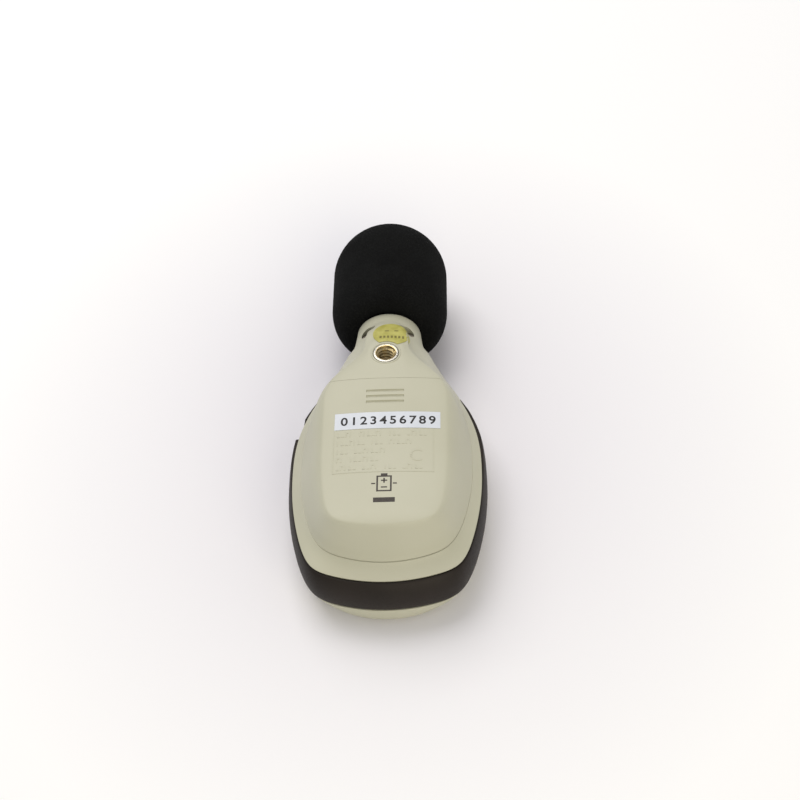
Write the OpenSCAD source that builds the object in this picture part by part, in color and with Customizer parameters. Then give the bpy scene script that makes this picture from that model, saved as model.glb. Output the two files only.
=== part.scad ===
// Pocket sound level meter, lying face down with its back up.
// +Z is up out of the back, +Y points to the microphone, +X is right as seen from the back.
// The origin is at the middle of the whole outline, on the plane of the front face.
// Most modules work in "case space": Y is measured from the battery end of the case.

/* [Case] */
// Length from the battery end to the tip of the windscreen
total_l = 137.8; // [136.4:0.2:139]
// Width over the side band
body_w = 57; // [54:1:58]
// Height of the back above the front face
body_t = 32; // [32:0.5:34]
// Length of the case without the windscreen
case_l = 95.6; // [95:0.2:96]
// Wall thickness of the mouldings
wall = 2; // [1.8:0.1:2.2]
// Gap round everything that moves
gap = 0.25; // [0.2:0.05:0.3]

/* [Side band] */
// Height of the band's lower edge
band_lo_z = 7; // [6:0.5:8]
// Height of the band's upper edge
band_hi_z = 17; // [16:0.5:18]
// Depth of the groove that the band sits in
band_seat = 1.3; // [1:0.1:1.5]

/* [Microphone] */
// Height of the microphone axis
mic_z = 18; // [18:0.5:19]
// Diameter of the neck of the case
neck_d = 19.4; // [19:0.2:19.8]
// Diameter of the microphone tube
tube_d = 12.7; // [12:0.1:13.2]
// Diameter of the foam windscreen
foam_d = 35.6; // [34:0.2:36]

/* [Battery] */
// Width of the 9 V block
cell_w = 26.2; // [26:0.1:26.8]
// Thickness of the 9 V block
cell_t = 17; // [16.8:0.1:17.2]
// Length of the 9 V block without its studs
cell_l = 45.8; // [45:0.1:46]
// Distance that the door slides to come off
door_travel = 60; // [58:1:62]

/* [Tripod thread] */
// Outside diameter of the threaded bush
bush_d = 7.6; // [7.4:0.1:8]
// Minor diameter of the 1/4-20 thread
thread_minor_d = 5.2; // [5.0:0.05:5.3]

/* [Keys] */
// Travel of each key
key_travel = 0.7; // [0.5:0.1:0.8]

/* [Hidden] */
$fn = 48;

widest_y = 40;                       // where the case is widest
part_z = 12;                         // joint plane of the two case halves
ledge_z = 20;                        // the door slides on this plane
door_y = 64.5;                       // upper edge of the door
fade_y = 57;                         // the band starts to fade here
band_end_y = 72;                     // and would end here
seat_rise = 0.9;                     // the groove leans in by this much at the battery end
neck_r = neck_d / 2;
tube_r = tube_d / 2;

board_lo_z = 8.9;
board_hi_z = 10.5;

bush_y = 74.5;
bush_h = 8;

tray_floor_z = 10.8;
cell_lo_z = 11.7;
cell_y = 17.2;
tray_x = cell_w / 2 + 0.6;
tray_wall = 1.2;

lcd_y = 50;
lcd_w = 34;
lcd_h = 18;
window_w = 32;
window_h = 16;

power_pos = [0, 17];
hold_pos = [-10.5, 30];
light_pos = [10.5, 30];
key_face_z = 0.3;                    // key faces sit this far inside the front face
key_flange_z = 2.15;
switch_lo_z = 5.4;
plunger_r = 1.7;

side_key_y = 59;
side_key_z = 14.2;

neck_screw = [5.7, 88.2];
neck_tip_z = 10.4;
case_screw = [17.4, 21];
board_screws = [[-21, 42], [21, 42], [-10.5, 77.5], [10.5, 77.5]];
boss_r = 2.6;
neck_boss_r = 2.1;

tube_y = 91.4;
tube_end_y = 120;
foam_y = case_l + 0.3;
foam_bore_r = tube_r + 0.3;

shell_colour = [0.76, 0.76, 0.67];
band_colour = [0.22, 0.18, 0.15];
metal_colour = [0.78, 0.78, 0.76];

// ---------- outline of the case ----------
// A level is one horizontal slice of the case:
// [height, half width, lower end, neck half width, upper end, taper start, taper end,
//  seat, squareness, lean, sag]
// The seat is how far the side band's groove is cut in. At the battery end the squareness
// sets how tight the corners are, the lean how much the sides draw in, as a share of the half
// width, and the sag how far the end curves back at its corners.

// 1 along the sides, fading to 0 where the band ends
function band_fade(y) =
  y < fade_y ? 1 : y > band_end_y ? 0 : (1 + cos(180 * (y - fade_y) / (band_end_y - fade_y))) / 2;

// Half width of a slice above its widest place
function taper_x(y, l) =
  let (t = min(1, max(0, (y - l[5]) / (l[6] - l[5]))),
       c = min(l[3], 7),
       e = max(0, (y - l[4] + c) / c))
  (l[3] + (l[1] - l[3]) * (1 + cos(180 * pow(t, 1.33))) / 2 - l[7] * band_fade(y))
  * sqrt(max(0, 1 - e * e));

function side_x(y, l) = (l[1] - l[7]) * (1 - l[9] * pow((widest_y - y) / widest_y, 2));
function reach_y(x, l) = widest_y - l[2] - l[7] - l[10] * pow(x / l[1], 2);

// Finds the point at shares u of the side and w of the reach, closer with each round
function settle(u, w, l, x, y, rounds = 12) =
  rounds == 0 ? [x, y] :
  settle(u, w, l, u * side_x(y, l), widest_y - w * reach_y(x, l), rounds - 1);

function corner_share(a, n) = pow(1 - pow(a, n), 1 / n);

// Point on the lower right: t is 0 at the battery end, 0.5 on the corner, 1 at the widest,
// with points closer together towards the corner
function end_pt(t, l) =
  let (n = l[8], a = (1 - pow(abs(2 * t - 1), 1.5)) * pow(0.5, 1 / n), b = corner_share(a, n),
       u = t < 0.5 ? a : b, w = t < 0.5 ? b : a)
  settle(u, w, l, u * l[1], widest_y * (1 - w));

// Point at turn s of the right-hand outline: 0 is the battery end, 180 the neck
function egg_pt(s, l) =
  s <= 90 ? end_pt(s / 90, l)
  : let (y = widest_y + (l[4] - widest_y) * sin(s - 90)) [taper_x(y, l), y];

turn_step = 9;
side_n = 180 / turn_step;            // points on one side, without the last
ring_n = 2 * side_n;

function ring(l) = [
  for (i = [0 : ring_n - 1])
    let (right = i <= side_n, p = egg_pt((right ? i : ring_n - i) * turn_step, l))
    [right ? p.x : -p.x, p.y, l[0]]
];

// Solid through a list of levels, lowest first
module loft(levels) {
  top = (len(levels) - 1) * ring_n;
  points = [for (l = levels) each ring(l)];
  sides = [
    for (k = [0 : len(levels) - 2], i = [0 : ring_n - 1])
      let (a = k * ring_n + i, b = k * ring_n + (i + 1) % ring_n)
      each [[a, a + ring_n, b + ring_n], [a, b + ring_n, b]]
  ];
  caps = [
    for (i = [0 : side_n - 1])
      let (j = (ring_n - i) % ring_n, k = ring_n - i - 1)
      each (i == 0
        ? [[0, 1, k], [top, top + k, top + 1]]
        : i == side_n - 1
        ? [[i, side_n, j], [top + i, top + j, top + side_n]]
        : [[i, i + 1, k], [i, k, j],
           [top + i, top + k, top + i + 1], [top + i, top + j, top + k]])
  ];
  polyhedron(points = points, faces = concat(sides, caps), convexity = 6);
}

half_w = body_w / 2;

// Slices of the two halves, with d added inwards for an inner wall
function front_levels(d = 0) = [
  [0 + d,       half_w - 5.6 - d, 5.2 + d, 8.5 - d, 79 - d, 43, 86, 0, 5, 0.36, 10.5],
  [0.9 + d,     half_w - 3.3 - d, 2.7 + d, 9 - d,   82 - d, 42, 89, 0, 5, 0.35, 11.5],
  [2.4 + d,     half_w - 1.7 - d, 1.1 + d, 9.2 - d, 85 - d, 41, 92, 0, 5.5, 0.34, 11.5],
  [4.6 + d / 2, half_w - 0.9 - d, 0.6 + d, 9.4 - d, 87 - d, 40, 95, 0, 8, 0.32, 10],
  [band_lo_z + d / 4, half_w - 0.9 - d, 0.6 + d, 9.6 - d, 89 - d, 40, 97,
   d > 0 ? band_seat : 0, 12, 0.315, 8.6]
];

function seat_levels(z0, z1, d = 0) = [
  [z0, half_w - 0.9 - d, 0.9 + d, 9.6 - d, 89 - d, 40, 97, band_seat, 14, 0.315, 8.4],
  [z1, half_w - 0.9 - d, 0.9 + d + seat_rise * (z1 - part_z) / (band_hi_z - part_z),
   9.8 - d, 91 - d, 40, 97, band_seat, 14, 0.315, 8.4]
];

// Above the band: border, foot of the door, side of the battery box, crown
function back_levels(d = 0) = [
  [band_hi_z - d / 4, half_w - 1.55 - d, 2.8 + d, 9.8 - d, 92 - d, 40, 97, 0, 16, 0.325, 8],
  [ledge_z - d / 2, half_w - 4 - d, 7.1 + d, 9.7 - d, 92 - d, 40, 97, 0, 14, 0.49, 8.6],
  [24 - d / 2, half_w - 6.1 - d, 8.8 + d, 8.9 - d, 91 - d, 46, 90, 0, 11, 0.42, 7],
  [28 - d / 2, half_w - 8.2 - d, 10.3 + d, 6.2 - d, 91.5 - d, 53, 84, 0, 9, 0.35, 5],
  [body_t - 1.6 - 0.9 * d, half_w - 10.2 - d, 11.4 + d, 6.4 - d, 87 - d, 56, 80, 0, 9, 0.3, 3.4],
  [body_t - 0.8 - 0.96 * d, half_w - 12.6 - d, 12.6 + d, 6 - d, 83 - d, 58, 78, 0, 9, 0.28, 2.4],
  [body_t - 0.2 - d, half_w - 20 - d, 16 + d, 5 - d, 80.5 - d, 59, 76, 0, 8, 0.25, 1]
];

module place() translate([0, -total_l / 2, 0]) children();

module rod_y(r, y0, y1, x = 0, z = mic_z)
  translate([x, y0, z]) rotate([-90, 0, 0]) cylinder(h = y1 - y0, r = r);

module rod_x(r, x0, x1, y, z)
  translate([x0, y, z]) rotate([0, 90, 0]) cylinder(h = x1 - x0, r = r);

module post(r, z0, z1, at = [0, 0])
  translate([at.x, at.y, z0]) cylinder(h = z1 - z0, r = r);

// Box given by its middle in X, its lower Y and Z, and its size
module slab(x, y, z, size)
  translate([x - size.x / 2, y, z]) cube(size);

module both_sides() {
  children();
  mirror([1, 0, 0]) children();
}

// Round-cornered plate, centred in X and Y
module plate(w, h, r, t)
  linear_extrude(t) hull()
    for (x = [-1, 1], y = [-1, 1])
      translate([x * (w / 2 - r), y * (h / 2 - r)]) circle(r, $fn = 32);

module key_hole(at, w, h, r, grow)
  translate([at.x, at.y, -1]) plate(w + 2 * grow, h + 2 * grow, r + grow, wall + 3);

// ---------- case ----------

// The neck widens from its rounded end towards the case
neck_root_y = 80;
neck_root_r = neck_r + 1.8;
neck_bore_r = neck_r - 1.5;

module neck_half(low) difference() {
  translate([0, neck_root_y, mic_z]) rotate([-90, 0, 0]) {
    cylinder(h = case_l - neck_root_y - 0.7, r1 = neck_root_r, r2 = neck_r);
    translate([0, 0, case_l - neck_root_y - 0.7])
      cylinder(h = 0.7, r1 = neck_r, r2 = neck_r - 0.7);
  }
  rod_y(neck_bore_r, neck_root_y - 1, tube_y + 1.5);
  rod_y(tube_r + 0.1, neck_root_y - 1, case_l + 1);
  slab(0, neck_root_y - 2, low ? part_z : part_z - 20, [40, 20, 20]);
}

module front_outer() loft(concat(front_levels(), seat_levels(band_lo_z + 0.01, part_z)));

module front_shell() color(shell_colour) place() {
  difference() {
    union() {
      difference() {
        front_outer();
        loft(concat(front_levels(wall), seat_levels(band_lo_z + 0.6, part_z + 1, wall)));
        rod_y(neck_bore_r, neck_root_y - 1, case_l + 1);
      }
      difference() {
        neck_half(true);
        // room for the end of the board
        slab(0, neck_root_y - 1, board_lo_z - 0.2, [30, 5.5, 6]);
      }
      both_sides() {
        post(boss_r, wall - 0.3, part_z, case_screw);
        intersection() {
          post(neck_boss_r, 8.6, part_z, neck_screw);
          front_outer();
        }
      }
      for (p = board_screws) post(boss_r, p.y > widest_y + 20 ? 4.2 : 2.2, board_lo_z, p);
    }
    translate([0, lcd_y, -1]) plate(window_w - 3, window_h - 3, 1, 4);
    translate([0, lcd_y, -1]) plate(window_w + 0.2, window_h + 0.2, 2.1, 2.3);
    key_hole(power_pos, 10, 10, 4.9, gap);
    key_hole(hold_pos, 13, 7, 3.4, gap);
    key_hole(light_pos, 13, 7, 3.4, gap);
    both_sides() {
      post(1.0, 4, part_z + 1, case_screw);
      post(1.0, neck_tip_z - 0.2, part_z + 1, neck_screw);
    }
    for (p = board_screws) post(0.8, 4.6, board_lo_z + 1, p);
  }
}

module rear_outer() loft(concat(seat_levels(part_z, band_hi_z - 0.01), back_levels()));

module rear_inner() loft(concat(seat_levels(part_z - 1, 15, wall), back_levels(wall)));

rail_y = 29;
rail_l = 22;

tray_h = 10.2;

// Lips on the tray's side walls that hold the hooks of the door down
module door_rails() both_sides() {
  slab(tray_x + tray_wall / 2, rail_y, ledge_z, [tray_wall, rail_l, 2.5]);
  slab(tray_x + 2.25, rail_y, ledge_z + 1.6, [2.3, rail_l, 0.9]);
}

module battery_tray() {
  start = cell_y - 1.5;
  length = contact_y + 6.8 - start;
  both_sides() slab(tray_x + tray_wall / 2, start, tray_floor_z, [tray_wall, length, tray_h]);
  slab(0, start, tray_floor_z, [2 * tray_x + 1, length, 0.8]);
  for (y = [start, start + length - 1.2])
    slab(0, y, tray_floor_z, [2 * tray_x + 1, 1.2, tray_h - 0.2]);
  // ribs that tie the tray to the case wall
  for (y = [32, 48])
    both_sides() slab(19.5, y, part_z + 0.2, [9.4, 1.2, 5]);
}

module rear_shell() color(shell_colour) place() {
  difference() {
    union() {
      difference() {
        rear_outer();
        rear_inner();
        slab(0, -1, ledge_z, [80, door_y + 1, 20]);
        rod_y(neck_bore_r, neck_root_y - 1, case_l + 1);
      }
      neck_half(false);
      post(6.4, body_t - bush_h - 1.5, body_t - 0.9, [0, bush_y]);
      post(5.1, body_t - 2, body_t + 0.1, [0, bush_y]);
      battery_tray();
      door_rails();
      both_sides() {
        post(boss_r, part_z, ledge_z - 1, case_screw);
        post(neck_boss_r, part_z, 24.5, neck_screw);
      }
    }
    post(bush_d / 2, body_t - bush_h, body_t + 1, [0, bush_y]);
    // side key
    slab(-24, side_key_y - 3.2 - gap, side_key_z - 1.5 - gap,
         [8, 6.4 + 2 * gap, 3 + 2 * gap]);
    both_sides() {
      post(1.3, part_z - 1, 30, case_screw);
      post(2.4, part_z + 5.5, ledge_z, case_screw);
      post(1.3, part_z - 1, 30, neck_screw);
      post(2.2, 22.5, 34, neck_screw);
    }
  }
}

// Grip band round the sides and the battery end: a loop swept along the outline
band_turns = [each [0 : turn_step : 117], 121, 125.5];

// Edge of the band at turn s, standing "out" beyond the case wall and "up" along it
function band_edge(s, z, out, up = 0) =
  let (l = [z, half_w - 0.9, 0.9 + up, 9.7, 90, 40, 97, -out, 14, 0.315, 8.4], p = egg_pt(s, l))
  [p.x, p.y, z];

function band_section(s) = [
  band_edge(s, band_lo_z + 0.1, 0.15), band_edge(s, 9, 0.75), band_edge(s, 11.5, 0.9),
  band_edge(s, 14.5, 0.45, 0.3), band_edge(s, band_hi_z - 0.1, -0.5, seat_rise),
  band_edge(s, band_hi_z - 0.1, 0.06 - band_seat, seat_rise),
  band_edge(s, part_z, 0.06 - band_seat), band_edge(s, band_lo_z + 0.1, 0.06 - band_seat)
];

module side_band() color(band_colour) place() difference() {
  last_turn = len(band_turns) - 1;
  rings = concat(
    [for (i = [last_turn : -1 : 0]) band_section(band_turns[i])],
    [for (i = [1 : last_turn])
      [for (p = band_section(band_turns[i])) [-p.x, p.y, p.z]]]);
  n = len(rings[0]);
  last = (len(rings) - 1) * n;
  polyhedron(
    points = [for (r = rings) each r],
    faces = concat(
      [for (k = [0 : len(rings) - 2], i = [0 : n - 1])
        let (a = k * n + i, b = k * n + (i + 1) % n)
        each [[a, b + n, b], [a, a + n, b + n]]],
      [for (i = [1 : n - 2]) [0, i, i + 1]],
      [for (i = [1 : n - 2]) [last, last + i + 1, last + i]]),
    convexity = 8);
  // notch for the side key
  slab(-27, side_key_y - 4, part_z - 1, [8, 8, 10]);
}

module battery_door() color(shell_colour) place() difference() {
  union() {
    difference() {
      intersection() {
        loft(back_levels());
        slab(0, 0, ledge_z + 0.1, [80, door_y - gap, 20]);
      }
      loft(concat([[part_z, half_w - 6.1, 9.2, 8, 91, 40, 97, 0, 14, 0.49, 8.6]], back_levels(wall - 0.2)));
    }
    // hooks that run under the lips of the tray
    both_sides() slab(19.35, rail_y, ledge_z + 0.1, [6.9, rail_l, 1.1]);
  }
  for (i = [0 : 2]) slab(0, door_y - 9.65 + 2.1 * i, body_t - 0.55, [10.8, 0.9, 2]);
}

// ---------- display ----------

module lcd_window() color([0.15, 0.17, 0.18]) place()
  translate([0, lcd_y, 0.1]) plate(window_w, window_h, 2, 1.1);

module lcd_bezel() color([0.2, 0.2, 0.2]) place() difference() {
  slab(0, lcd_y - lcd_h / 2 - 1.6, wall + 0.1, [lcd_w + 2.4, lcd_h + 2.8, board_lo_z - wall - 0.2]);
  slab(0, lcd_y - lcd_h / 2 + 1, 0, [lcd_w - 4, lcd_h - 3, 5]);
  slab(0, lcd_y - lcd_h / 2 - 0.1, 2.9, [lcd_w + 0.2, lcd_h + 0.2, 8]);
}

module lcd_glass() color([0.62, 0.66, 0.55]) place()
  slab(0, lcd_y - lcd_h / 2, 3, [lcd_w, lcd_h, 2.1]);

module backlight_panel() color([0.9, 0.93, 0.9]) place()
  slab(0, lcd_y - lcd_h / 2 + 3, 5.2, [lcd_w - 1, lcd_h - 3.2, 2.2]);

module zebra_strip() color([0.75, 0.55, 0.6]) place()
  slab(0, lcd_y - lcd_h / 2 + 0.3, 5.1, [lcd_w - 2, 2, board_lo_z - 5.1]);

// ---------- keys ----------

module front_key(at, w, h, r) place() {
  translate([at.x, at.y, key_face_z]) plate(w, h, r, 2.2);
  translate([at.x, at.y, key_flange_z]) plate(w + 1.8, h + 1.8, r + 0.9, 0.9);
  post(1.5, key_flange_z, 4.65, at);
}

module power_key() color([0.72, 0.25, 0.2]) front_key(power_pos, 10, 10, 4.9);
module hold_key() color([0.35, 0.35, 0.36]) front_key(hold_pos, 13, 7, 3.4);
module light_key() color([0.35, 0.35, 0.36]) front_key(light_pos, 13, 7, 3.4);

module front_plunger(at) color([0.1, 0.1, 0.1]) place() post(plunger_r, 4.65, 7.4, at);
module power_plunger() front_plunger(power_pos);
module hold_plunger() front_plunger(hold_pos);
module light_plunger() front_plunger(light_pos);

module key_switches() color([0.25, 0.25, 0.26]) place()
  for (p = [power_pos, hold_pos, light_pos]) difference() {
    slab(p.x, p.y - 3, switch_lo_z, [6, 6, board_lo_z - switch_lo_z]);
    post(plunger_r + 0.1, switch_lo_z - 1, 8.3, p);
  }

module side_key() color(band_colour) place() {
  slab(-23.3, side_key_y - 3.2, side_key_z - 1.5, [3, 6.4, 3]);
  slab(-20.7, side_key_y - 3.6, side_key_z - 2.1, [0.8, 7.2, 4.2]);
  rod_x(1.1, -21.8, -20.2, side_key_y, side_key_z);
}

module side_plunger() color([0.1, 0.1, 0.1]) place()
  rod_x(1.2, -20.2, -17.8, side_key_y, side_key_z);

module side_switch() color([0.25, 0.25, 0.26]) place() difference() {
  slab(-17.9, side_key_y - 3, board_hi_z, [3, 6, 6]);
  rod_x(1.3, -20, -16.9, side_key_y, side_key_z);
}

// ---------- microphone ----------

module mic_tube() color(metal_colour) place() difference() {
  union() {
    rod_y(tube_r, tube_y, tube_end_y);
    rod_y(neck_bore_r - 0.1, tube_y, tube_y + 1.4);
  }
  rod_y(tube_r - 0.8, tube_y - 1, tube_end_y + 1);
}

module mic_clamp() color([0.3, 0.3, 0.3]) place() difference() {
  rod_y(neck_bore_r - 0.1, tube_y - 1, tube_y);
  rod_y(tube_r - 1.6, tube_y - 2, tube_y + 1);
}

module mic_gasket() color([0.08, 0.08, 0.08]) place() difference() {
  rod_y(tube_r - 0.8, tube_end_y - 7.4, tube_end_y - 1.2);
  rod_y(4.95, tube_end_y - 8, tube_end_y);
}

module mic_capsule() color([0.85, 0.85, 0.83]) place()
  rod_y(4.95, tube_end_y - 7, tube_end_y - 1.4);

module mic_grid() color(metal_colour) place() difference() {
  rod_y(tube_r - 0.8, tube_end_y - 1.2, tube_end_y + 0.6);
  for (i = [0 : 5])
    rod_y(0.9, tube_end_y - 2, tube_end_y + 1, 3.4 * cos(60 * i), mic_z + 3.4 * sin(60 * i));
  rod_y(0.9, tube_end_y - 2, tube_end_y + 1);
}

// Foam cylinder with a hemispherical tip and a rounded near end, bored for the tube
foam_r = foam_d / 2;
foam_l = total_l - foam_y;
near_r = 5.2;                        // across the near end of the foam
near_l = 9.5;                        // and along it

module windscreen() color([0.11, 0.11, 0.12]) place() difference() {
  translate([0, foam_y, mic_z]) rotate([-90, 0, 0])
    rotate_extrude()
      polygon(concat(
        [[0, 0]],
        [for (a = [0 : 15 : 90])
          [foam_r - near_r * (1 - sin(a)), near_l * (1 - cos(a))]],
        [for (a = [0 : 9 : 90])
          [foam_r * cos(a), foam_l - foam_r * (1 - sin(a))]]));
  rod_y(foam_bore_r, foam_y - 1, tube_end_y + 2);
}

// ---------- tripod bush ----------

module tripod_bush() color([0.8, 0.75, 0.6]) place() difference() {
  post(bush_d / 2, body_t - bush_h, body_t + 0.1, [0, bush_y]);
  post(thread_minor_d / 2, body_t - bush_h + 1, body_t + 1, [0, bush_y]);
}

// ---------- battery ----------

module battery_case() color([0.15, 0.25, 0.5]) place()
  slab(0, cell_y, cell_lo_z, [cell_w, cell_l - 1.2, cell_t]);

module battery_end_plate() color([0.1, 0.1, 0.1]) place()
  slab(0, cell_y + cell_l - 1.2, cell_lo_z + 0.3, [cell_w - 0.6, 1.2, cell_t - 0.6]);

stud_x = 6.35;
stud_z = cell_lo_z + cell_t / 2;

module battery_studs() color(metal_colour) place() {
  rod_y(2.8, cell_y + cell_l, cell_y + cell_l + 2.6, stud_x, stud_z);
  difference() {
    rod_y(4.1, cell_y + cell_l, cell_y + cell_l + 2.6, -stud_x, stud_z);
    rod_y(2.9, cell_y + cell_l + 0.6, cell_y + cell_l + 3, -stud_x, stud_z);
  }
}

contact_y = cell_y + cell_l + 0.5;

module battery_contacts() color([0.85, 0.8, 0.6]) place() {
  difference() {
    rod_y(4.1, contact_y, contact_y + 2.8, stud_x, stud_z);
    rod_y(2.9, contact_y - 1, contact_y + 2.3, stud_x, stud_z);
  }
  rod_y(2.8, contact_y + 0.3, contact_y + 2.8, -stud_x, stud_z);
}

module contact_block() color([0.12, 0.12, 0.12]) place()
  slab(0, contact_y + 2.8, cell_lo_z, [cell_w - 1, 1.7, 15.4]);

// ---------- board ----------

module main_board() color([0.1, 0.38, 0.2]) place() difference() {
  loft([for (z = [board_lo_z, board_hi_z])
    [z, half_w - 0.9 - wall - 0.6, 0.9 + wall + 0.6, 7.2, 84, 40, 97, band_seat,
     14, 0.315, 8.4]]);
  both_sides() post(boss_r + 0.3, 5, 15, case_screw);
  for (p = board_screws) post(1.1, 5, 15, p);
}

// Screw standing on end: its head is at the top
module screw(at, head_z, tip_z, head_r, shank_r, head_h) difference() {
  union() {
    post(head_r, head_z, head_z + head_h, at);
    post(shank_r, tip_z, head_z, at);
  }
  for (a = [0, 90])
    translate([at.x, at.y, head_z + head_h]) rotate([0, 0, a])
      cube([1.3 * head_r, 0.5, 1.2], center = true);
}

module neck_screws() color(metal_colour) place() both_sides()
  screw(neck_screw, 22.5, neck_tip_z, 2.1, 0.98, 1.5);
module case_screws() color(metal_colour) place() both_sides()
  screw(case_screw, part_z + 5.5, 5, 2.1, 0.98, 1.3);
module board_screws() color(metal_colour) place()
  for (p = board_screws) screw(p, board_hi_z, 5, 1.9, 0.78, 1.2);

// Chip body with legs along its two long sides
module chip(x, y, w, h, legs, pitch) {
  slab(x, y, board_hi_z + 0.15, [w, h, 1.4]);
  for (i = [0 : legs - 1], side = [-1, 1])
    slab(x + side * (w / 2 + 0.45), y + h / 2 + (i - (legs - 1) / 2) * pitch - 0.17, board_hi_z,
         [1.0, 0.34, 0.75]);
}

module controller_chip() color([0.12, 0.12, 0.13]) place() chip(0, 70.8, 7.5, 8, 7, 0.8);
module amplifier_chip() color([0.12, 0.12, 0.13]) place() chip(-20.2, 27, 3.9, 5, 4, 1.27);
module crystal() color(metal_colour) place() rod_y(1.5, 70.9, 77.9, 6.7, board_hi_z + 1.5);

module capacitors() color([0.2, 0.2, 0.24]) place() {
  post(2, board_hi_z, board_hi_z + 5.4, [-8.4, 73.2]);
  post(2, board_hi_z, board_hi_z + 5.4, [-12.9, 73.2]);
  post(2.5, board_hi_z, board_hi_z + 6, [-19.6, 36.6]);
}

module chip_resistors() color([0.2, 0.2, 0.2]) place() {
  for (i = [0 : 3]) slab(17.4 + 1.8 * i, 27, board_hi_z, [0.9, 1.7, 0.5]);
  for (i = [0 : 3]) slab(17.4 + 1.8 * i, 31, board_hi_z, [0.9, 1.7, 0.5]);
}

module shield_can() color(metal_colour) place() difference() {
  slab(0, 79.2, board_hi_z, [11, 4.6, 3.2]);
  slab(0, 79.5, board_hi_z - 1, [10.4, 4, 3.9]);
}

module board_header() color([0.9, 0.88, 0.8]) place() slab(19.5, 54, board_hi_z, [3, 8, 5]);

trimmer_at = [12.6, 73.2];

module trimmer_base() color([0.15, 0.3, 0.6]) place() difference() {
  slab(trimmer_at.x, trimmer_at.y - 2.3, board_hi_z, [4.6, 4.6, 2.4]);
  post(1.7, board_hi_z + 1, 20, trimmer_at);
}

module trimmer_rotor() color([0.9, 0.88, 0.8]) place() difference() {
  post(1.62, board_hi_z + 1.1, board_hi_z + 2.6, trimmer_at);
  slab(trimmer_at.x, trimmer_at.y - 0.25, board_hi_z + 2.1, [2.4, 0.5, 1]);
}

// ---------- labels ----------

// Skin of the back, as thick as a printed label
module back_skin() difference() {
  translate([0, 0, 0.17]) loft(back_levels());
  translate([0, 0, 0.02]) loft(back_levels());
}

module serial_label() color([0.9, 0.92, 0.94]) place() intersection() {
  back_skin();
  slab(0.8, 45.1, body_t - 2, [29.8, 6.1, 4]);
}

module check_sticker() color([0.7, 0.68, 0.3]) place() difference() {
  intersection() {
    back_skin();
    post(5.4, body_t - 5, body_t + 1, [1.2, 83.4]);
  }
  post(5.5, body_t - 8, body_t + 2, [0, bush_y]);
}

front_shell();
rear_shell();
side_band();
battery_door();
lcd_window();
lcd_bezel();
lcd_glass();
backlight_panel();
zebra_strip();
main_board();
power_key();
hold_key();
light_key();
side_key();
power_plunger();
hold_plunger();
light_plunger();
side_plunger();
key_switches();
side_switch();
mic_tube();
mic_capsule();
mic_grid();
mic_gasket();
mic_clamp();
windscreen();
tripod_bush();
battery_case();
battery_end_plate();
battery_studs();
contact_block();
battery_contacts();
neck_screws();
case_screws();
board_screws();
controller_chip();
amplifier_chip();
crystal();
capacitors();
chip_resistors();
shield_can();
board_header();
trimmer_base();
trimmer_rotor();
serial_label();
check_sticker();
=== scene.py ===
"""Pocket sound level meter lying face down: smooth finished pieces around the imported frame."""

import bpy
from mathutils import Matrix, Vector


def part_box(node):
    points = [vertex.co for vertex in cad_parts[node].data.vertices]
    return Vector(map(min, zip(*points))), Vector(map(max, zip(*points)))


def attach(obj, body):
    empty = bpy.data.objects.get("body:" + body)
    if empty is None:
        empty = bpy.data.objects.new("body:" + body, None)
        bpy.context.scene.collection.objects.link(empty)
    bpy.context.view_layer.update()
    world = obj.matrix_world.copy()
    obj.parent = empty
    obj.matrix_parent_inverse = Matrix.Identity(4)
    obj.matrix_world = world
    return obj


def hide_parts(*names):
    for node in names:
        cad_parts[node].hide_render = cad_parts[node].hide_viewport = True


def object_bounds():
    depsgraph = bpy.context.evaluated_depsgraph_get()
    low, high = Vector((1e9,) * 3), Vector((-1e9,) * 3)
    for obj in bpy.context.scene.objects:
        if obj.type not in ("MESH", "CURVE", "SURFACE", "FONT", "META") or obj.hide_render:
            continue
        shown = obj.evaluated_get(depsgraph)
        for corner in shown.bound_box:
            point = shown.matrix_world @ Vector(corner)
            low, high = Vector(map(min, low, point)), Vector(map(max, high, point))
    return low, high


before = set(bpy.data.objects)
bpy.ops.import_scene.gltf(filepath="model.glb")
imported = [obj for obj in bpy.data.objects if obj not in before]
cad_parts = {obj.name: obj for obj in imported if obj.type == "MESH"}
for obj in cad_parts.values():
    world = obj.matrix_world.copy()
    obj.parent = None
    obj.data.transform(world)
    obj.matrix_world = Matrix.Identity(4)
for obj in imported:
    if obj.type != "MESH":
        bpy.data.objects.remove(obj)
frame_box = [list(corner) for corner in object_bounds()]

import logging
import math
from dataclasses import dataclass, replace
from enum import Enum
from typing import Callable, Iterable, Sequence

import bpy
from mathutils import Matrix, Vector

logging.basicConfig(level=logging.INFO, format="%(message)s")
log = logging.getLogger("meter")

MM = 0.001
BATTERY_END = frame_box[0][1]  # where the case starts; "v" is measured from here

Piece = bpy.types.Object
Point = tuple[float, float, float]


def at(x: float, v: float, z: float) -> Vector:
    """Place in the frame of a point given in millimetres of the case."""
    return Vector((x * MM, BATTERY_END + v * MM, z * MM))


class Axis(Enum):
    """Direction that a round piece is turned about."""

    X = (0.0, math.pi / 2, 0.0)
    Y = (math.pi / 2, 0.0, 0.0)
    Z = (0.0, 0.0, 0.0)


class Cut(Enum):
    """How a second solid acts on the first."""

    LESS = "DIFFERENCE"
    PLUS = "UNION"


# ---------- the bench: modelling moves that every sub-assembly uses ----------


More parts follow.
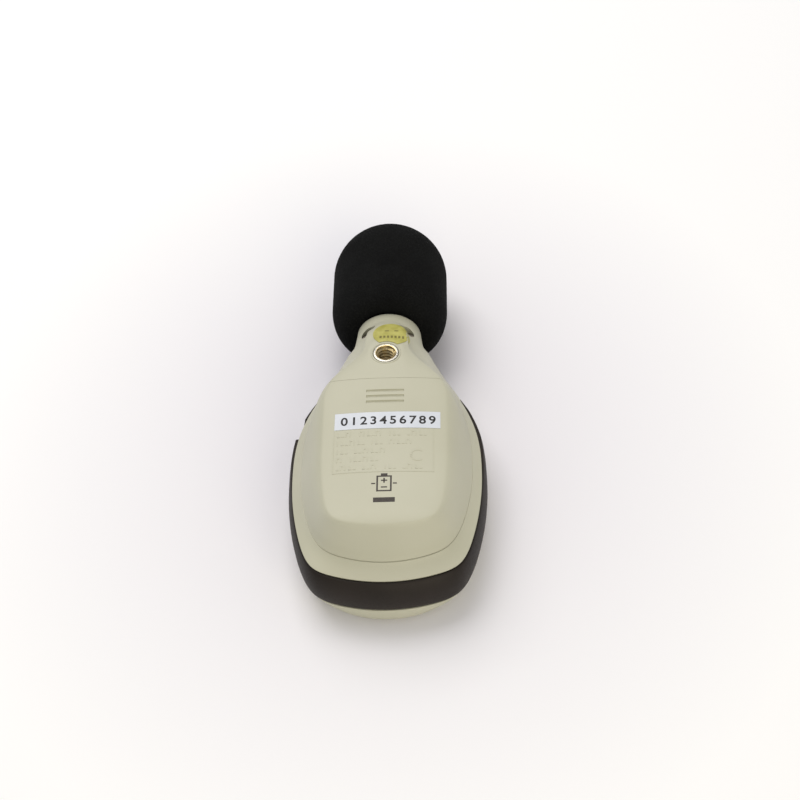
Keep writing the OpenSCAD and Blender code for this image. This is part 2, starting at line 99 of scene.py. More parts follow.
class Bench:
    """Modelling moves by hand, each on selected objects only."""

    @staticmethod
    def clear() -> None:
        """Leave edit mode and select nothing."""
        if bpy.context.mode != "OBJECT":
            bpy.ops.object.mode_set(mode="OBJECT")
        bpy.ops.object.select_all(action="DESELECT")

    @classmethod
    def pick(cls, *pieces: Piece) -> None:
        """Select the pieces and make the first one active."""
        cls.clear()
        for piece in pieces:
            piece.select_set(True)
        bpy.context.view_layer.objects.active = pieces[0]

    @classmethod
    def settle(cls, name: str) -> Piece:
        """Name the new primitive and move its place into its mesh."""
        piece = bpy.context.active_object
        cls.pick(piece)
        bpy.ops.object.transform_apply(location=True, rotation=True, scale=True)
        piece.name = piece.data.name = name
        return piece

    @classmethod
    def box(cls, name: str, low: Point, high: Point) -> Piece:
        """Block between two corners, in case millimetres."""
        cls.clear()
        a, b = at(*low), at(*high)
        bpy.ops.mesh.primitive_cube_add(size=1, location=(a + b) / 2)
        bpy.context.active_object.scale = b - a
        return cls.settle(name)

    @classmethod
    def rod(
        cls, name: str, radius: float, low: Point, length: float,
        axis: Axis = Axis.Z, steps: int = 64, far_radius: float | None = None,
    ) -> Piece:
        """Round rod or cone that starts at a point and runs along an axis.

        Args:
            name: name of the new piece.
            radius: radius at the start, in millimetres.
            low: the start of the rod's axis.
            length: length in millimetres.
            axis: direction of the rod.
            steps: sides of the rod.
            far_radius: radius at the far end, if it differs.
        Returns:
            The new piece.
        """
        cls.clear()
        run = {Axis.X: (1, 0, 0), Axis.Y: (0, 1, 0), Axis.Z: (0, 0, 1)}[axis]
        middle = at(*low) + Vector(run) * length * MM / 2
        near, far = radius * MM, (radius if far_radius is None else far_radius) * MM
        if axis is Axis.Y:
            near, far = far, near
        bpy.ops.mesh.primitive_cone_add(
            vertices=steps, radius1=near, radius2=far, depth=length * MM,
            location=middle, rotation=axis.value,
        )
        return cls.settle(name)

    @classmethod
    def skin(cls, name: str, rows: Sequence[Sequence[Vector]], closed: bool = True) -> Piece:
        """Surface through equal rows of points, bent from a flat grid.

        Args:
            name: name of the new piece.
            rows: the points, row by row; a closed row repeats its first point at its end.
            closed: join the seam and fill both ends.
        Returns:
            The new piece.
        """
        cls.clear()
        down, across = len(rows) - 1, len(rows[0]) - 1
        bpy.ops.mesh.primitive_grid_add(x_subdivisions=across, y_subdivisions=down, size=1.0)
        piece = bpy.context.active_object
        piece.name = piece.data.name = name
        for vertex in piece.data.vertices:
            i = round((vertex.co.x + 0.5) * across)
            j = round((vertex.co.y + 0.5) * down)
            vertex.co = rows[j][i]
        if closed:
            cls.weld(piece)
            bpy.ops.object.mode_set(mode="EDIT")
            bpy.ops.mesh.select_all(action="SELECT")
            bpy.ops.mesh.fill_holes(sides=0)
            bpy.ops.mesh.select_all(action="SELECT")
            bpy.ops.mesh.normals_make_consistent(inside=False)
        cls.clear()
        return piece

    @classmethod
    def weld(cls, piece: Piece, reach: float = 0.0001) -> None:
        """Merge points that lie within a reach, in millimetres, of each other."""
        cls.pick(piece)
        bpy.ops.object.mode_set(mode="EDIT")
        bpy.ops.mesh.select_all(action="SELECT")
        bpy.ops.mesh.remove_doubles(threshold=reach * MM)
        bpy.ops.object.mode_set(mode="OBJECT")

    @classmethod
    def turned(
        cls, name: str, profile: Sequence[tuple[float, float]], centre: Point,
        axis: Axis = Axis.Z, steps: int = 96,
    ) -> Piece:
        """Piece of revolution.

        Args:
            name: name of the new piece.
            profile: pairs of radius and distance along the axis, in millimetres.
            centre: a point of the axis that the distances are measured from.
            axis: the axis.
            steps: sides of the piece.
        Returns:
            The new piece.
        """
        rows = []
        for radius, along in profile:
            row = []
            for k in range(steps + 1):
                turn = 2 * math.pi * (k % steps) / steps
                a, b = radius * math.cos(turn), radius * math.sin(turn)
                step = {Axis.X: (along, a, b), Axis.Y: (a, along, b), Axis.Z: (a, b, along)}
                row.append(at(*centre) + Vector(step[axis]) * MM)
            rows.append(row)
        return cls.skin(name, rows)

    @classmethod
    def cut(cls, body: Piece, tool: Piece, how: Cut = Cut.LESS) -> None:
        """Cut away or add a second solid, which is used up."""
        cls.pick(body)
        bpy.ops.object.modifier_add(type="BOOLEAN")
        step = body.modifiers[-1]
        step.operation, step.object, step.solver = how.value, tool, "MANIFOLD"
        before = len(body.data.vertices)
        bpy.ops.object.modifier_apply(modifier=step.name)
        if len(body.data.vertices) in (before, 0):
            log.warning("  %s left %s with %d points", tool.name, body.name, before)
        bpy.data.objects.remove(tool)

    @classmethod
    def soften(cls, piece: Piece, width: float, angle: float = 40.0, steps: int = 2) -> None:
        """Round the edges sharper than an angle, by a width in millimetres."""
        cls.pick(piece)
        bpy.ops.object.modifier_add(type="BEVEL")
        step = piece.modifiers[-1]
        step.limit_method, step.angle_limit = "ANGLE", math.radians(angle)
        step.width, step.segments = width * MM, steps
        bpy.ops.object.modifier_apply(modifier=step.name)
        cls.weld(piece, 0.001)

    @classmethod
    def relax(cls, piece: Piece, inside: Callable[[Vector], bool], repeat: int) -> None:
        """Smooth the points that pass a test of their place."""
        cls.pick(piece)
        bpy.ops.object.mode_set(mode="EDIT")
        bpy.ops.mesh.select_mode(type="VERT")
        bpy.ops.mesh.select_all(action="DESELECT")
        bpy.ops.object.mode_set(mode="OBJECT")
        for vertex in piece.data.vertices:
            vertex.select = inside(vertex.co)
        bpy.ops.object.mode_set(mode="EDIT")
        bpy.ops.mesh.vertices_smooth(factor=0.5, repeat=repeat)
        cls.clear()

    @classmethod
    def shade(cls, piece: Piece, angle: float = 32.0) -> None:
        """Smooth shading, with edges sharper than the angle kept."""
        cls.pick(piece)
        bpy.ops.object.shade_smooth_by_angle(angle=math.radians(angle))

    @classmethod
    def join(cls, name: str, pieces: Sequence[Piece]) -> Piece:
        """Make several pieces one object."""
        cls.pick(*pieces)
        bpy.ops.object.join()
        pieces[0].name = pieces[0].data.name = name
        cls.clear()
        return pieces[0]

    @classmethod
    def twin(cls, piece: Piece, name: str) -> Piece:
        """Copy of a piece as it is now."""
        cls.pick(piece)
        bpy.ops.object.duplicate()
        copy = bpy.context.active_object
        copy.name = name
        cls.clear()
        return copy

    @classmethod
    def drape(cls, piece: Piece, ground: Piece, lift: float, thick: float) -> None:
        """Drop a flat sheet straight down onto a surface and give it a thickness.

        Args:
            piece: the sheet, above the surface.
            ground: the surface.
            lift: height of the sheet's underside above the surface, in millimetres.
            thick: thickness of the sheet, in millimetres.
        """
        for vertex in piece.data.vertices:
            hit, place, _, _ = ground.ray_cast(
                Vector((vertex.co.x, vertex.co.y, 60 * MM)), Vector((0, 0, -1))
            )
            if hit:
                vertex.co.z = place.z + lift * MM
        for face in piece.data.polygons:
            if face.normal.z < 0:
                face.flip()
        cls.pick(piece)
        bpy.ops.object.mode_set(mode="EDIT")
        bpy.ops.mesh.select_all(action="SELECT")
        bpy.ops.mesh.extrude_region_move(
            TRANSFORM_OT_translate={"value": (0, 0, thick * MM)}
        )
        cls.clear()


# ---------- finishes ----------


@dataclass(frozen=True)
class Finish:
    """Moulded or painted surface: colour with a soft mottle, fine grain and uneven gloss."""

    name: str
    colour: tuple[float, float, float]
    second: tuple[float, float, float]
    rough: float = 0.5
    metal: float = 0.0
    mottle: float = 40.0
    grain: float = 1500.0
    depth: float = 0.02
    uneven: float = 0.06
    specular: float = 0.5

    def material(self) -> bpy.types.Material:
        """Node material of this finish, made once."""
        done = bpy.data.materials.get(self.name)
        if done:
            return done
        mat = bpy.data.materials.new(self.name)
        mat.use_nodes = True
        mat.diffuse_color = (*self.colour, 1)
        self.dress(Tree(mat))
        return mat

    def dress(self, tree: "Tree") -> None:
        """Fill the material's nodes."""
        shader = tree.shader
        shader.inputs["Metallic"].default_value = self.metal
        shader.inputs["Specular IOR Level"].default_value = self.specular
        clouds = tree.noise(self.mottle, 4.0)
        tree.link(tree.ramp(clouds, self.colour, self.second), shader.inputs["Base Color"])
        grain = tree.noise(self.grain, 3.0)
        tree.link(tree.span(grain, self.rough - self.uneven, self.rough + self.uneven),
                  shader.inputs["Roughness"])
        tree.link(tree.bump(grain, self.depth), shader.inputs["Normal"])


class Tree:
    """Node tree of one material, filled step by step on Object coordinates."""

    def __init__(self, mat: bpy.types.Material) -> None:
        """Take the new material's own shader."""
        self.nodes = mat.node_tree.nodes
        self.links = mat.node_tree.links
        self.shader = self.nodes["Principled BSDF"]
        self.coords = self.nodes.new("ShaderNodeTexCoord")

    def link(self, output, socket) -> None:
        """Join an output to an input."""
        self.links.new(output, socket)

    def add(self, kind: str, **inputs):
        """New node with values for its inputs."""
        node = self.nodes.new("ShaderNode" + kind)
        for key, value in inputs.items():
            node.inputs[key.replace("_", " ")].default_value = value
        return node

    def noise(self, scale: float, detail: float):
        """Noise on Object coordinates; the scale is per metre."""
        node = self.add("TexNoise", Scale=scale, Detail=detail)
        self.link(self.coords.outputs["Object"], node.inputs["Vector"])
        return node.outputs["Fac"]

    def ramp(self, factor, low, high, start: float = 0.35, stop: float = 0.65):
        """Colour that runs from one to another."""
        node = self.add("ValToRGB")
        node.color_ramp.elements[0].color = (*low, 1)
        node.color_ramp.elements[1].color = (*high, 1)
        node.color_ramp.elements[0].position = start
        node.color_ramp.elements[1].position = stop
        self.link(factor, node.inputs["Fac"])
        return node.outputs["Color"]

    def span(self, value, low: float, high: float, start: float = 0.3, stop: float = 0.7):
        """Number that runs between two limits."""
        node = self.add("MapRange", From_Min=start, From_Max=stop, To_Min=low, To_Max=high)
        self.link(value, node.inputs["Value"])
        return node.outputs["Result"]

    def bump(self, height, depth: float, strength: float = 1.0):
        """Surface relief with a depth in millimetres."""
        node = self.add("Bump", Strength=strength, Distance=depth * MM)
        self.link(height, node.inputs["Height"])
        return node.outputs["Normal"]

    def part(self, which: str):
        """One Object coordinate: X, Y or Z."""
        node = self.add("SeparateXYZ")
        self.link(self.coords.outputs["Object"], node.inputs[0])
        return node.outputs[which]

    def maths(self, how: str, a, b=None):
        """Arithmetic on sockets or numbers."""
        node = self.nodes.new("ShaderNodeMath")
        node.operation = how
        for socket, value in zip(node.inputs, (a, b)):
            if isinstance(value, (int, float)):
                socket.default_value = value
            elif value is not None:
                self.link(value, socket)
        return node.outputs[0]

    def mix(self, factor, a, b):
        """Mix of two colours, sockets or values."""
        node = self.nodes.new("ShaderNodeMix")
        node.data_type = "RGBA"
        sockets = [s for s in node.inputs if s.enabled]
        for socket, value in zip(sockets, (factor, a, b)):
            if isinstance(value, (int, float)):
                socket.default_value = value
            elif isinstance(value, tuple):
                socket.default_value = (*value, 1)
            else:
                self.link(value, socket)
        return [s for s in node.outputs if s.enabled][0]


@dataclass(frozen=True)
class FoamFinish(Finish):
    """Open-cell foam: near-black, with painted shade in the cell pits and a matt, slightly furry skin."""

    def dress(self, tree: Tree) -> None:
        """Cells from a cell pattern: painted shade, darker where the bump sinks the cell pits, broken up
        by noise.
        """
        shader = tree.shader
        shader.inputs["Roughness"].default_value = self.rough
        shader.inputs["Specular IOR Level"].default_value = self.specular
        cells = tree.add("TexVoronoi", Scale=self.grain)
        tree.link(tree.coords.outputs["Object"], cells.inputs["Vector"])
        clouds = tree.noise(self.mottle, 5.0)
        fine = tree.noise(self.grain * 0.6, 4.0)
        pits = tree.span(cells.outputs["Distance"], 0.0, 1.0, 0.0, 0.8)
        # painted shade in the cell pits (the pits the bump sinks), times random mottle
        shade = tree.maths("MULTIPLY", pits, clouds)
        tree.link(tree.ramp(shade, self.second, self.colour, 0.05, 0.5),
                  shader.inputs["Base Color"])
        height = tree.maths("ADD", pits, fine)
        tree.link(tree.bump(height, self.depth), shader.inputs["Normal"])


@dataclass(frozen=True)
class BushFinish(Finish):
    """Turned brass, bright nickel plate outside the thread."""

    centre_v: float = 74.5
    thread_radius: float = 3.05

    def dress(self, tree: Tree) -> None:
        """Brass inside the thread's radius, nickel outside it."""
        shader = tree.shader
        shader.inputs["Metallic"].default_value = self.metal
        x = tree.part("X")
        y = tree.maths("SUBTRACT", tree.part("Y"), BATTERY_END + self.centre_v * MM)
        square = tree.maths("ADD", tree.maths("MULTIPLY", x, x), tree.maths("MULTIPLY", y, y))
        radius = tree.maths("SQRT", square)
        inner = self.thread_radius * MM
        plated = tree.span(radius, 0.0, 1.0, inner, inner + 0.1 * MM)
        clouds = tree.noise(self.mottle, 3.0)
        brass = tree.ramp(clouds, (0.50, 0.38, 0.17), (0.66, 0.53, 0.29))
        nickel = tree.ramp(clouds, self.colour, self.second)
        tree.link(tree.mix(plated, brass, nickel), shader.inputs["Base Color"])
        rings = tree.maths("SINE", tree.maths("MULTIPLY", radius, 60000.0))
        tree.link(tree.span(rings, self.rough, self.rough + self.uneven, -1, 1),
                  shader.inputs["Roughness"])
        tree.link(tree.bump(rings, self.depth), shader.inputs["Normal"])


@dataclass(frozen=True)
class BoardFinish(Finish):
    """Printed board: solder mask over faint copper tracks."""

    def dress(self, tree: Tree) -> None:
        """Tracks from a brick pattern under the mask."""
        super().dress(tree)
        bricks = tree.add("TexBrick", Scale=260.0, Mortar_Size=0.03)
        bricks.offset = 0.37
        tree.link(tree.coords.outputs["Object"], bricks.inputs["Vector"])
        tracks = tree.mix(bricks.outputs["Fac"], self.colour, self.second)
        tree.link(tracks, tree.shader.inputs["Base Color"])


class Finishes:
    """All finishes of the meter, by the part they belong to."""

    SHELL = Finish("shell_plastic", (0.50, 0.49, 0.37), (0.53, 0.52, 0.40), rough=0.46,
                   mottle=28, grain=2600, depth=0.012)
    BAND = Finish("grip_plastic", (0.013, 0.009, 0.006), (0.019, 0.0135, 0.0095), rough=0.55,
                  mottle=60, grain=2200, depth=0.02, specular=0.25)
    FOAM = FoamFinish("windscreen_foam", (0.0095, 0.01, 0.0098), (0.0045, 0.0045, 0.0045),
                      rough=0.95, mottle=90, grain=2600, depth=0.14, specular=0.06)
    BUSH = BushFinish("plated_brass", (0.52, 0.50, 0.44), (0.62, 0.60, 0.54), rough=0.24,
                      metal=1.0, mottle=900, depth=0.004)
    PAPER = Finish("label_film", (0.62, 0.655, 0.71), (0.68, 0.71, 0.76), rough=0.42,
                   mottle=200, grain=3000, depth=0.004)
    INK = Finish("black_ink", (0.012, 0.011, 0.011), (0.03, 0.028, 0.026), rough=0.5,
                 mottle=2500, grain=4000, depth=0.004)
    PRINT = Finish("pad_print", (0.02, 0.014, 0.01), (0.045, 0.034, 0.024), rough=0.55,
                   mottle=2500, grain=4000, depth=0.004)
    STICKER = Finish("sticker_foil", (0.40, 0.37, 0.075), (0.52, 0.49, 0.13), rough=0.4,
                     mottle=500, grain=3000, depth=0.006)
    OLIVE = Finish("olive_ink", (0.16, 0.14, 0.03), (0.23, 0.20, 0.05), rough=0.5,
                   mottle=2500, grain=4000, depth=0.004)
    WINDOW = Finish("smoked_window", (0.02, 0.022, 0.024), (0.028, 0.03, 0.032), rough=0.12,
                    mottle=20, grain=300, depth=0.002, uneven=0.03)
    DARK = Finish("dark_plastic", (0.03, 0.03, 0.03), (0.045, 0.045, 0.046), rough=0.5,
                  mottle=120, grain=2400, depth=0.02)
    GREY = Finish("key_rubber", (0.10, 0.10, 0.105), (0.125, 0.125, 0.13), rough=0.62,
                  mottle=120, grain=3200, depth=0.015)
    RED = Finish("red_rubber", (0.42, 0.055, 0.035), (0.5, 0.075, 0.05), rough=0.58,
                 mottle=120, grain=3200, depth=0.015)
    METAL = Finish("nickel_plate", (0.62, 0.61, 0.57), (0.72, 0.71, 0.68), rough=0.26,
                   metal=1.0, mottle=500, grain=3500, depth=0.006)
    STEEL = Finish("zinc_screw", (0.20, 0.18, 0.15), (0.28, 0.25, 0.21), rough=0.42,
                   metal=1.0, mottle=900, grain=4000, depth=0.01)
    GLASS = Finish("display_film", (0.36, 0.40, 0.28), (0.40, 0.44, 0.31), rough=0.2,
                   mottle=60, grain=900, depth=0.002)
    DIFFUSER = Finish("diffuser", (0.82, 0.84, 0.80), (0.88, 0.90, 0.86), rough=0.5,
                      mottle=300, grain=2500, depth=0.01)
    ZEBRA = Finish("striped_rubber", (0.50, 0.28, 0.32), (0.12, 0.10, 0.10), rough=0.6,
                   mottle=3500, grain=3000, depth=0.01)
    BOARD = BoardFinish("solder_mask", (0.012, 0.115, 0.045), (0.02, 0.17, 0.07), rough=0.32,
                        mottle=300, grain=2500, depth=0.01)
    CELL = Finish("battery_sleeve", (0.02, 0.05, 0.19), (0.03, 0.07, 0.25), rough=0.28,
                  metal=0.4, mottle=150, grain=1500, depth=0.008)
    BRASS = Finish("spring_brass", (0.70, 0.55, 0.28), (0.80, 0.66, 0.38), rough=0.25,
                   metal=1.0, mottle=600, grain=3500, depth=0.006)
    CHIP = Finish("epoxy", (0.018, 0.018, 0.02), (0.03, 0.03, 0.032), rough=0.55,
                  mottle=900, grain=4000, depth=0.012)
    CREAM = Finish("cream_nylon", (0.78, 0.73, 0.60), (0.84, 0.80, 0.68), rough=0.5,
                   mottle=300, grain=2500, depth=0.01)
    BLUE = Finish("blue_nylon", (0.03, 0.09, 0.30), (0.05, 0.12, 0.38), rough=0.45,
                  mottle=300, grain=2500, depth=0.01)
    RUBBER = Finish("gasket_rubber", (0.012, 0.012, 0.012), (0.02, 0.02, 0.02), rough=0.75,
                    mottle=300, grain=2500, depth=0.02)
    CAN = Finish("capacitor_sleeve", (0.03, 0.03, 0.045), (0.05, 0.05, 0.07), rough=0.3,
                 mottle=200, grain=1500, depth=0.005)


def finish_piece(
    piece: Piece, finish: Finish, body: str, nodes: Iterable[str] = ()
) -> Piece:
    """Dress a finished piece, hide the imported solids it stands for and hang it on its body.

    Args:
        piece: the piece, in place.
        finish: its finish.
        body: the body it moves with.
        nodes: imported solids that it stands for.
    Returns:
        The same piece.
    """
    piece.data.materials.clear()
    piece.data.materials.append(finish.material())
    if nodes:
        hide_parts(*nodes)
    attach(piece, body)
    log.info("%s: %d faces on %s", piece.name, len(piece.data.polygons), body)
    return piece


# ---------- the outline of the case ----------


@dataclass(frozen=True)
class Level:
    """One horizontal slice of the case, in millimetres.

    The slice is widest at v = 40 and tapers to the neck between flare and waist. The seat is
    how far the band's groove is cut in. At the battery end, square sets how tight the corners
    are, lean how much the sides draw in, and sag how far the end curves back.
    """

    z: float
    half: float
    start: float
    neck: float
    end: float
    flare: float = 40.0
    waist: float = 97.0
    seat: float = 0.0
    square: float = 14.0
    lean: float = 0.315
    sag: float = 8.4

    def inset(self, d: float, drop: float = 0.0) -> "Level":
        """The same slice moved inwards by d and down by a drop."""
        return replace(self, z=self.z - drop, half=self.half - d, start=self.start + d,
                       neck=self.neck - d, end=self.end - d)

    def values(self) -> list[float]:
        """All numbers of the slice in order."""
        return [self.z, self.half, self.start, self.neck, self.end, self.flare, self.waist,
                self.seat, self.square, self.lean, self.sag]


@dataclass(frozen=True)
class CaseOutline:
    """Egg-shaped outline that all mouldings of the case share."""

    widest: float = 40.0
    band_end: float = 72.0
    fade_start: float = 57.0
    end_round: float = 7.0

    def fade(self, v: float) -> float:
        """1 along the sides, running to 0 where the band ends."""
        if v < self.fade_start:
            return 1.0
        if v > self.band_end:
            return 0.0
        run = (v - self.fade_start) / (self.band_end - self.fade_start)
        return (1 + math.cos(math.pi * run)) / 2

    def half_width(self, v: float, level: Level) -> float:
        """Half width of a slice above its widest place."""
        t = min(1.0, max(0.0, (v - level.flare) / (level.waist - level.flare)))
        c = min(level.neck, self.end_round)
        e = min(1.0, max(0.0, (v - level.end + c) / c))
        wave = (1 + math.cos(math.pi * t**1.33)) / 2
        half = level.neck + (level.half - level.neck) * wave - level.seat * self.fade(v)
        return half * math.sqrt(max(0.0, 1 - e * e))

    def point(self, turn: float, level: Level) -> tuple[float, float]:
        """Place on the right-hand outline: 0 is the battery end, 180 the neck."""
        if turn <= 90:
            return self.end_point(turn, level)
        v = self.widest + (level.end - self.widest) * math.sin(math.radians(turn - 90))
        return self.half_width(v, level), v

    def end_point(self, turn: float, level: Level) -> tuple[float, float]:
        """Point of the battery end: curved end, tight corner at 45 and drawn-in side.

        Args:
            turn: 0 at the middle of the end, 90 at the widest place.
            level: the slice.
        Returns:
            x and v in millimetres.
        """
        off = (turn - 45) / 45
        near = 1 - abs(off) ** 1.5
        a = near * 0.5 ** (1 / level.square)
        b = (1 - a**level.square) ** (1 / level.square)
        side, reach = (a, b) if off < 0 else (b, a)
        half = level.half - level.seat
        x, v = side * half, self.widest * (1 - reach)
        for _ in range(12):
            drawn = level.lean * ((self.widest - v) / self.widest) ** 2
            back = level.start + level.seat + level.sag * (x / level.half) ** 2
            x, v = side * half * (1 - drawn), self.widest - reach * (self.widest - back)
        return x, v

    def ring(self, level: Level, steps: int) -> list[Vector]:
        """Closed row of points round one slice."""
        right = [self.point(180 * k / steps, level) for k in range(steps + 1)]
        row = [at(x, v, level.z) for x, v in right]
        row += [at(-x, v, level.z) for x, v in reversed(right[1:-1])]
        return row + [row[0].copy()]

    @staticmethod
    def between(levels: Sequence[Level], parts: int) -> list[Level]:
        """Levels with a smooth curve of extra levels between them."""
        rows = [level.values() for level in levels]
        out: list[Level] = []
        for k in range(len(rows) - 1):
            a, b = rows[k], rows[k + 1]
            before = rows[k - 1] if k else a
            after = rows[k + 2] if k + 2 < len(rows) else b
            for i in range(parts):
                t = i / parts
                h = (2 * t**3 - 3 * t**2 + 1, t**3 - 2 * t**2 + t,
                     3 * t**2 - 2 * t**3, t**3 - t**2)
                out.append(Level(*[
                    h[0] * p + h[1] * (q - o) / 2 + h[2] * q + h[3] * (r - p) / 2
                    for o, p, q, r in zip(before, a, b, after)
                ]))
        return out + [levels[-1]]

    def solid(self, name: str, levels: Sequence[Level], steps: int = 96) -> Piece:
        """Closed solid through a list of levels."""
        return Bench.skin(name, [self.ring(level, steps) for level in levels])


@dataclass(frozen=True)
class CaseSizes:
    """Sizes that the mouldings of the case share, in millimetres."""

    half: float = 28.5
    top: float = 32.0
    wall: float = 2.0
    edge: float = 0.9  # the case wall stands back from the widest line of the band
    part_z: float = 12.0
    band_low: float = 7.0
    band_high: float = 17.0
    band_seat: float = 1.3
    seat_rise: float = 0.9
    ledge: float = 20.0
    door_v: float = 64.5
    seam: float = 0.09
    mic_z: float = 18.0
    neck_v: float = 80.0
    neck_root: float = 11.5
    neck_radius: float = 9.7
    neck_bore: float = 8.2
    case_end: float = 95.6
    bush_v: float = 74.5
    screw: tuple[float, float] = (5.7, 88.2)
    case_screw: tuple[float, float] = (17.4, 21.0)

    def seat_level(self, z: float, end: float, neck: float = 9.7) -> Level:
        """Slice inside the groove of the band."""
        rise = self.seat_rise * max(0.0, z - self.part_z) / (self.band_high - self.part_z)
        return Level(z, self.half - self.edge, self.edge + rise, neck, end, seat=self.band_seat)

    def back_levels(self) -> list[Level]:
        """Slices above the band: border, foot of the door, battery box and crown."""
        w, top = self.half, self.top
        return [
            Level(self.band_high, w - 1.55, 2.8, 9.8, 92, 40, 97, 0, 16, 0.325, 8),
            Level(self.ledge, w - 4, 7.1, 9.7, 92, 40, 97, 0, 14, 0.49, 8.6),
            Level(24, w - 6.1, 8.8, 8.9, 91, 46, 90, 0, 11, 0.42, 7),
            Level(28, w - 8.2, 10.3, 6.2, 91.5, 53, 84, 0, 9, 0.35, 5),
            Level(top - 1.6, w - 10.2, 11.4, 6.4, 87, 56, 80, 0, 9, 0.3, 3.4),
            Level(top - 0.8, w - 12.6, 12.6, 6, 83, 58, 78, 0, 9, 0.28, 2.4),
            Level(top - 0.2, w - 20, 16, 5, 80.5, 59, 76, 0, 8, 0.25, 1),
            Level(top - 0.04, w - 24.5, 21, 2.6, 77.5, 60, 74, 0, 6, 0.2, 0.5),
            Level(top, w - 27.6, 27, 0.5, 74, 60, 73, 0, 6, 0.2, 0),
        ]

    def inner_levels(self, d: float) -> list[Level]:
        """The same slices one wall thickness inside."""
        drops = (0.25, 0.5, 0.5, 0.5, 0.9, 0.96, 1.0)
        return [level.inset(d, drop * d) for level, drop in zip(self.back_levels(), drops)]

    def front_levels(self) -> list[Level]:
        """Slices from the front face up to the band."""
        w = self.half
        return [
            Level(0, w - 5.6, 5.2, 8.5, 79, 43, 86, 0, 5, 0.36, 10.5),
            Level(0.9, w - 3.3, 2.7, 9, 82, 42, 89, 0, 5, 0.35, 11.5),
            Level(2.4, w - 1.7, 1.1, 9.2, 85, 41, 92, 0, 5.5, 0.34, 11.5),
            Level(4.6, w - self.edge, 0.6, 9.4, 87, 40, 95, 0, 8, 0.32, 10),
            Level(self.band_low, w - self.edge, 0.6, 9.6, 89, 40, 97, 0, 12, 0.315, 8.6),
        ]


SIZES = CaseSizes()
OUTLINE = CaseOutline()


# ---------- the case ----------


@dataclass
class Neck:
    """Round neck that carries the microphone."""

    sizes: CaseSizes = SIZES
    round_over: float = 1.1
    shoulder_v: float = 92.9  # the wide bore ends here
    mouth: float = 6.5  # radius of the hole beyond it

    def solid(self, name: str, upper: bool) -> Piece:
        """Outer form of one half of the neck."""
        s, r = self.sizes, self.round_over
        end = s.case_end - r
        rows = [(0.0, s.neck_v - 3), (s.neck_root - 0.2, s.neck_v - 3)]
        for k in range(13):
            t = k / 12
            rows.append((s.neck_root + (s.neck_radius - s.neck_root) * t,
                         s.neck_v + (end - s.neck_v) * t))
        for k in range(1, 7):
            a = math.radians(15 * k)
            rows.append((s.neck_radius - r * (1 - math.cos(a)), end + r * math.sin(a)))
        rows.append((0.0, s.case_end))
        cone = Bench.turned(name, rows, (0, 0, s.mic_z), Axis.Y, 120)
        low, high = (-5.0, s.part_z) if upper else (s.part_z, 50.0)
        Bench.cut(cone, Bench.box("half_tool", (-40, 60, low), (40, 110, high)))
        return cone

    def bore(self, name: str) -> Piece:
        """Tool for the hole that holds the microphone tube."""
        s = self.sizes
        return Bench.turned(
            name,
            [(0, s.neck_v - 4), (s.neck_bore, s.neck_v - 4), (s.neck_bore, self.shoulder_v),
             (self.mouth, self.shoulder_v), (self.mouth, s.case_end + 2), (0, s.case_end + 2)],
            (0, 0, s.mic_z), Axis.Y, 96)

    def near_root(self, place: Vector) -> bool:
        """Whether a point lies near the crease between neck and case."""
        s = self.sizes
        v = (place.y - BATTERY_END) / MM
        if not s.neck_v - 2 < v < 94.0 or place.z / MM < s.part_z + 0.4:
            return False
        radius = math.hypot(place.x / MM, place.z / MM - s.mic_z)
        along = (v - s.neck_v) / (s.case_end - s.neck_v)
        wall = s.neck_root + (s.neck_radius - s.neck_root) * max(0.0, along)
        return abs(radius - wall) < 1.3


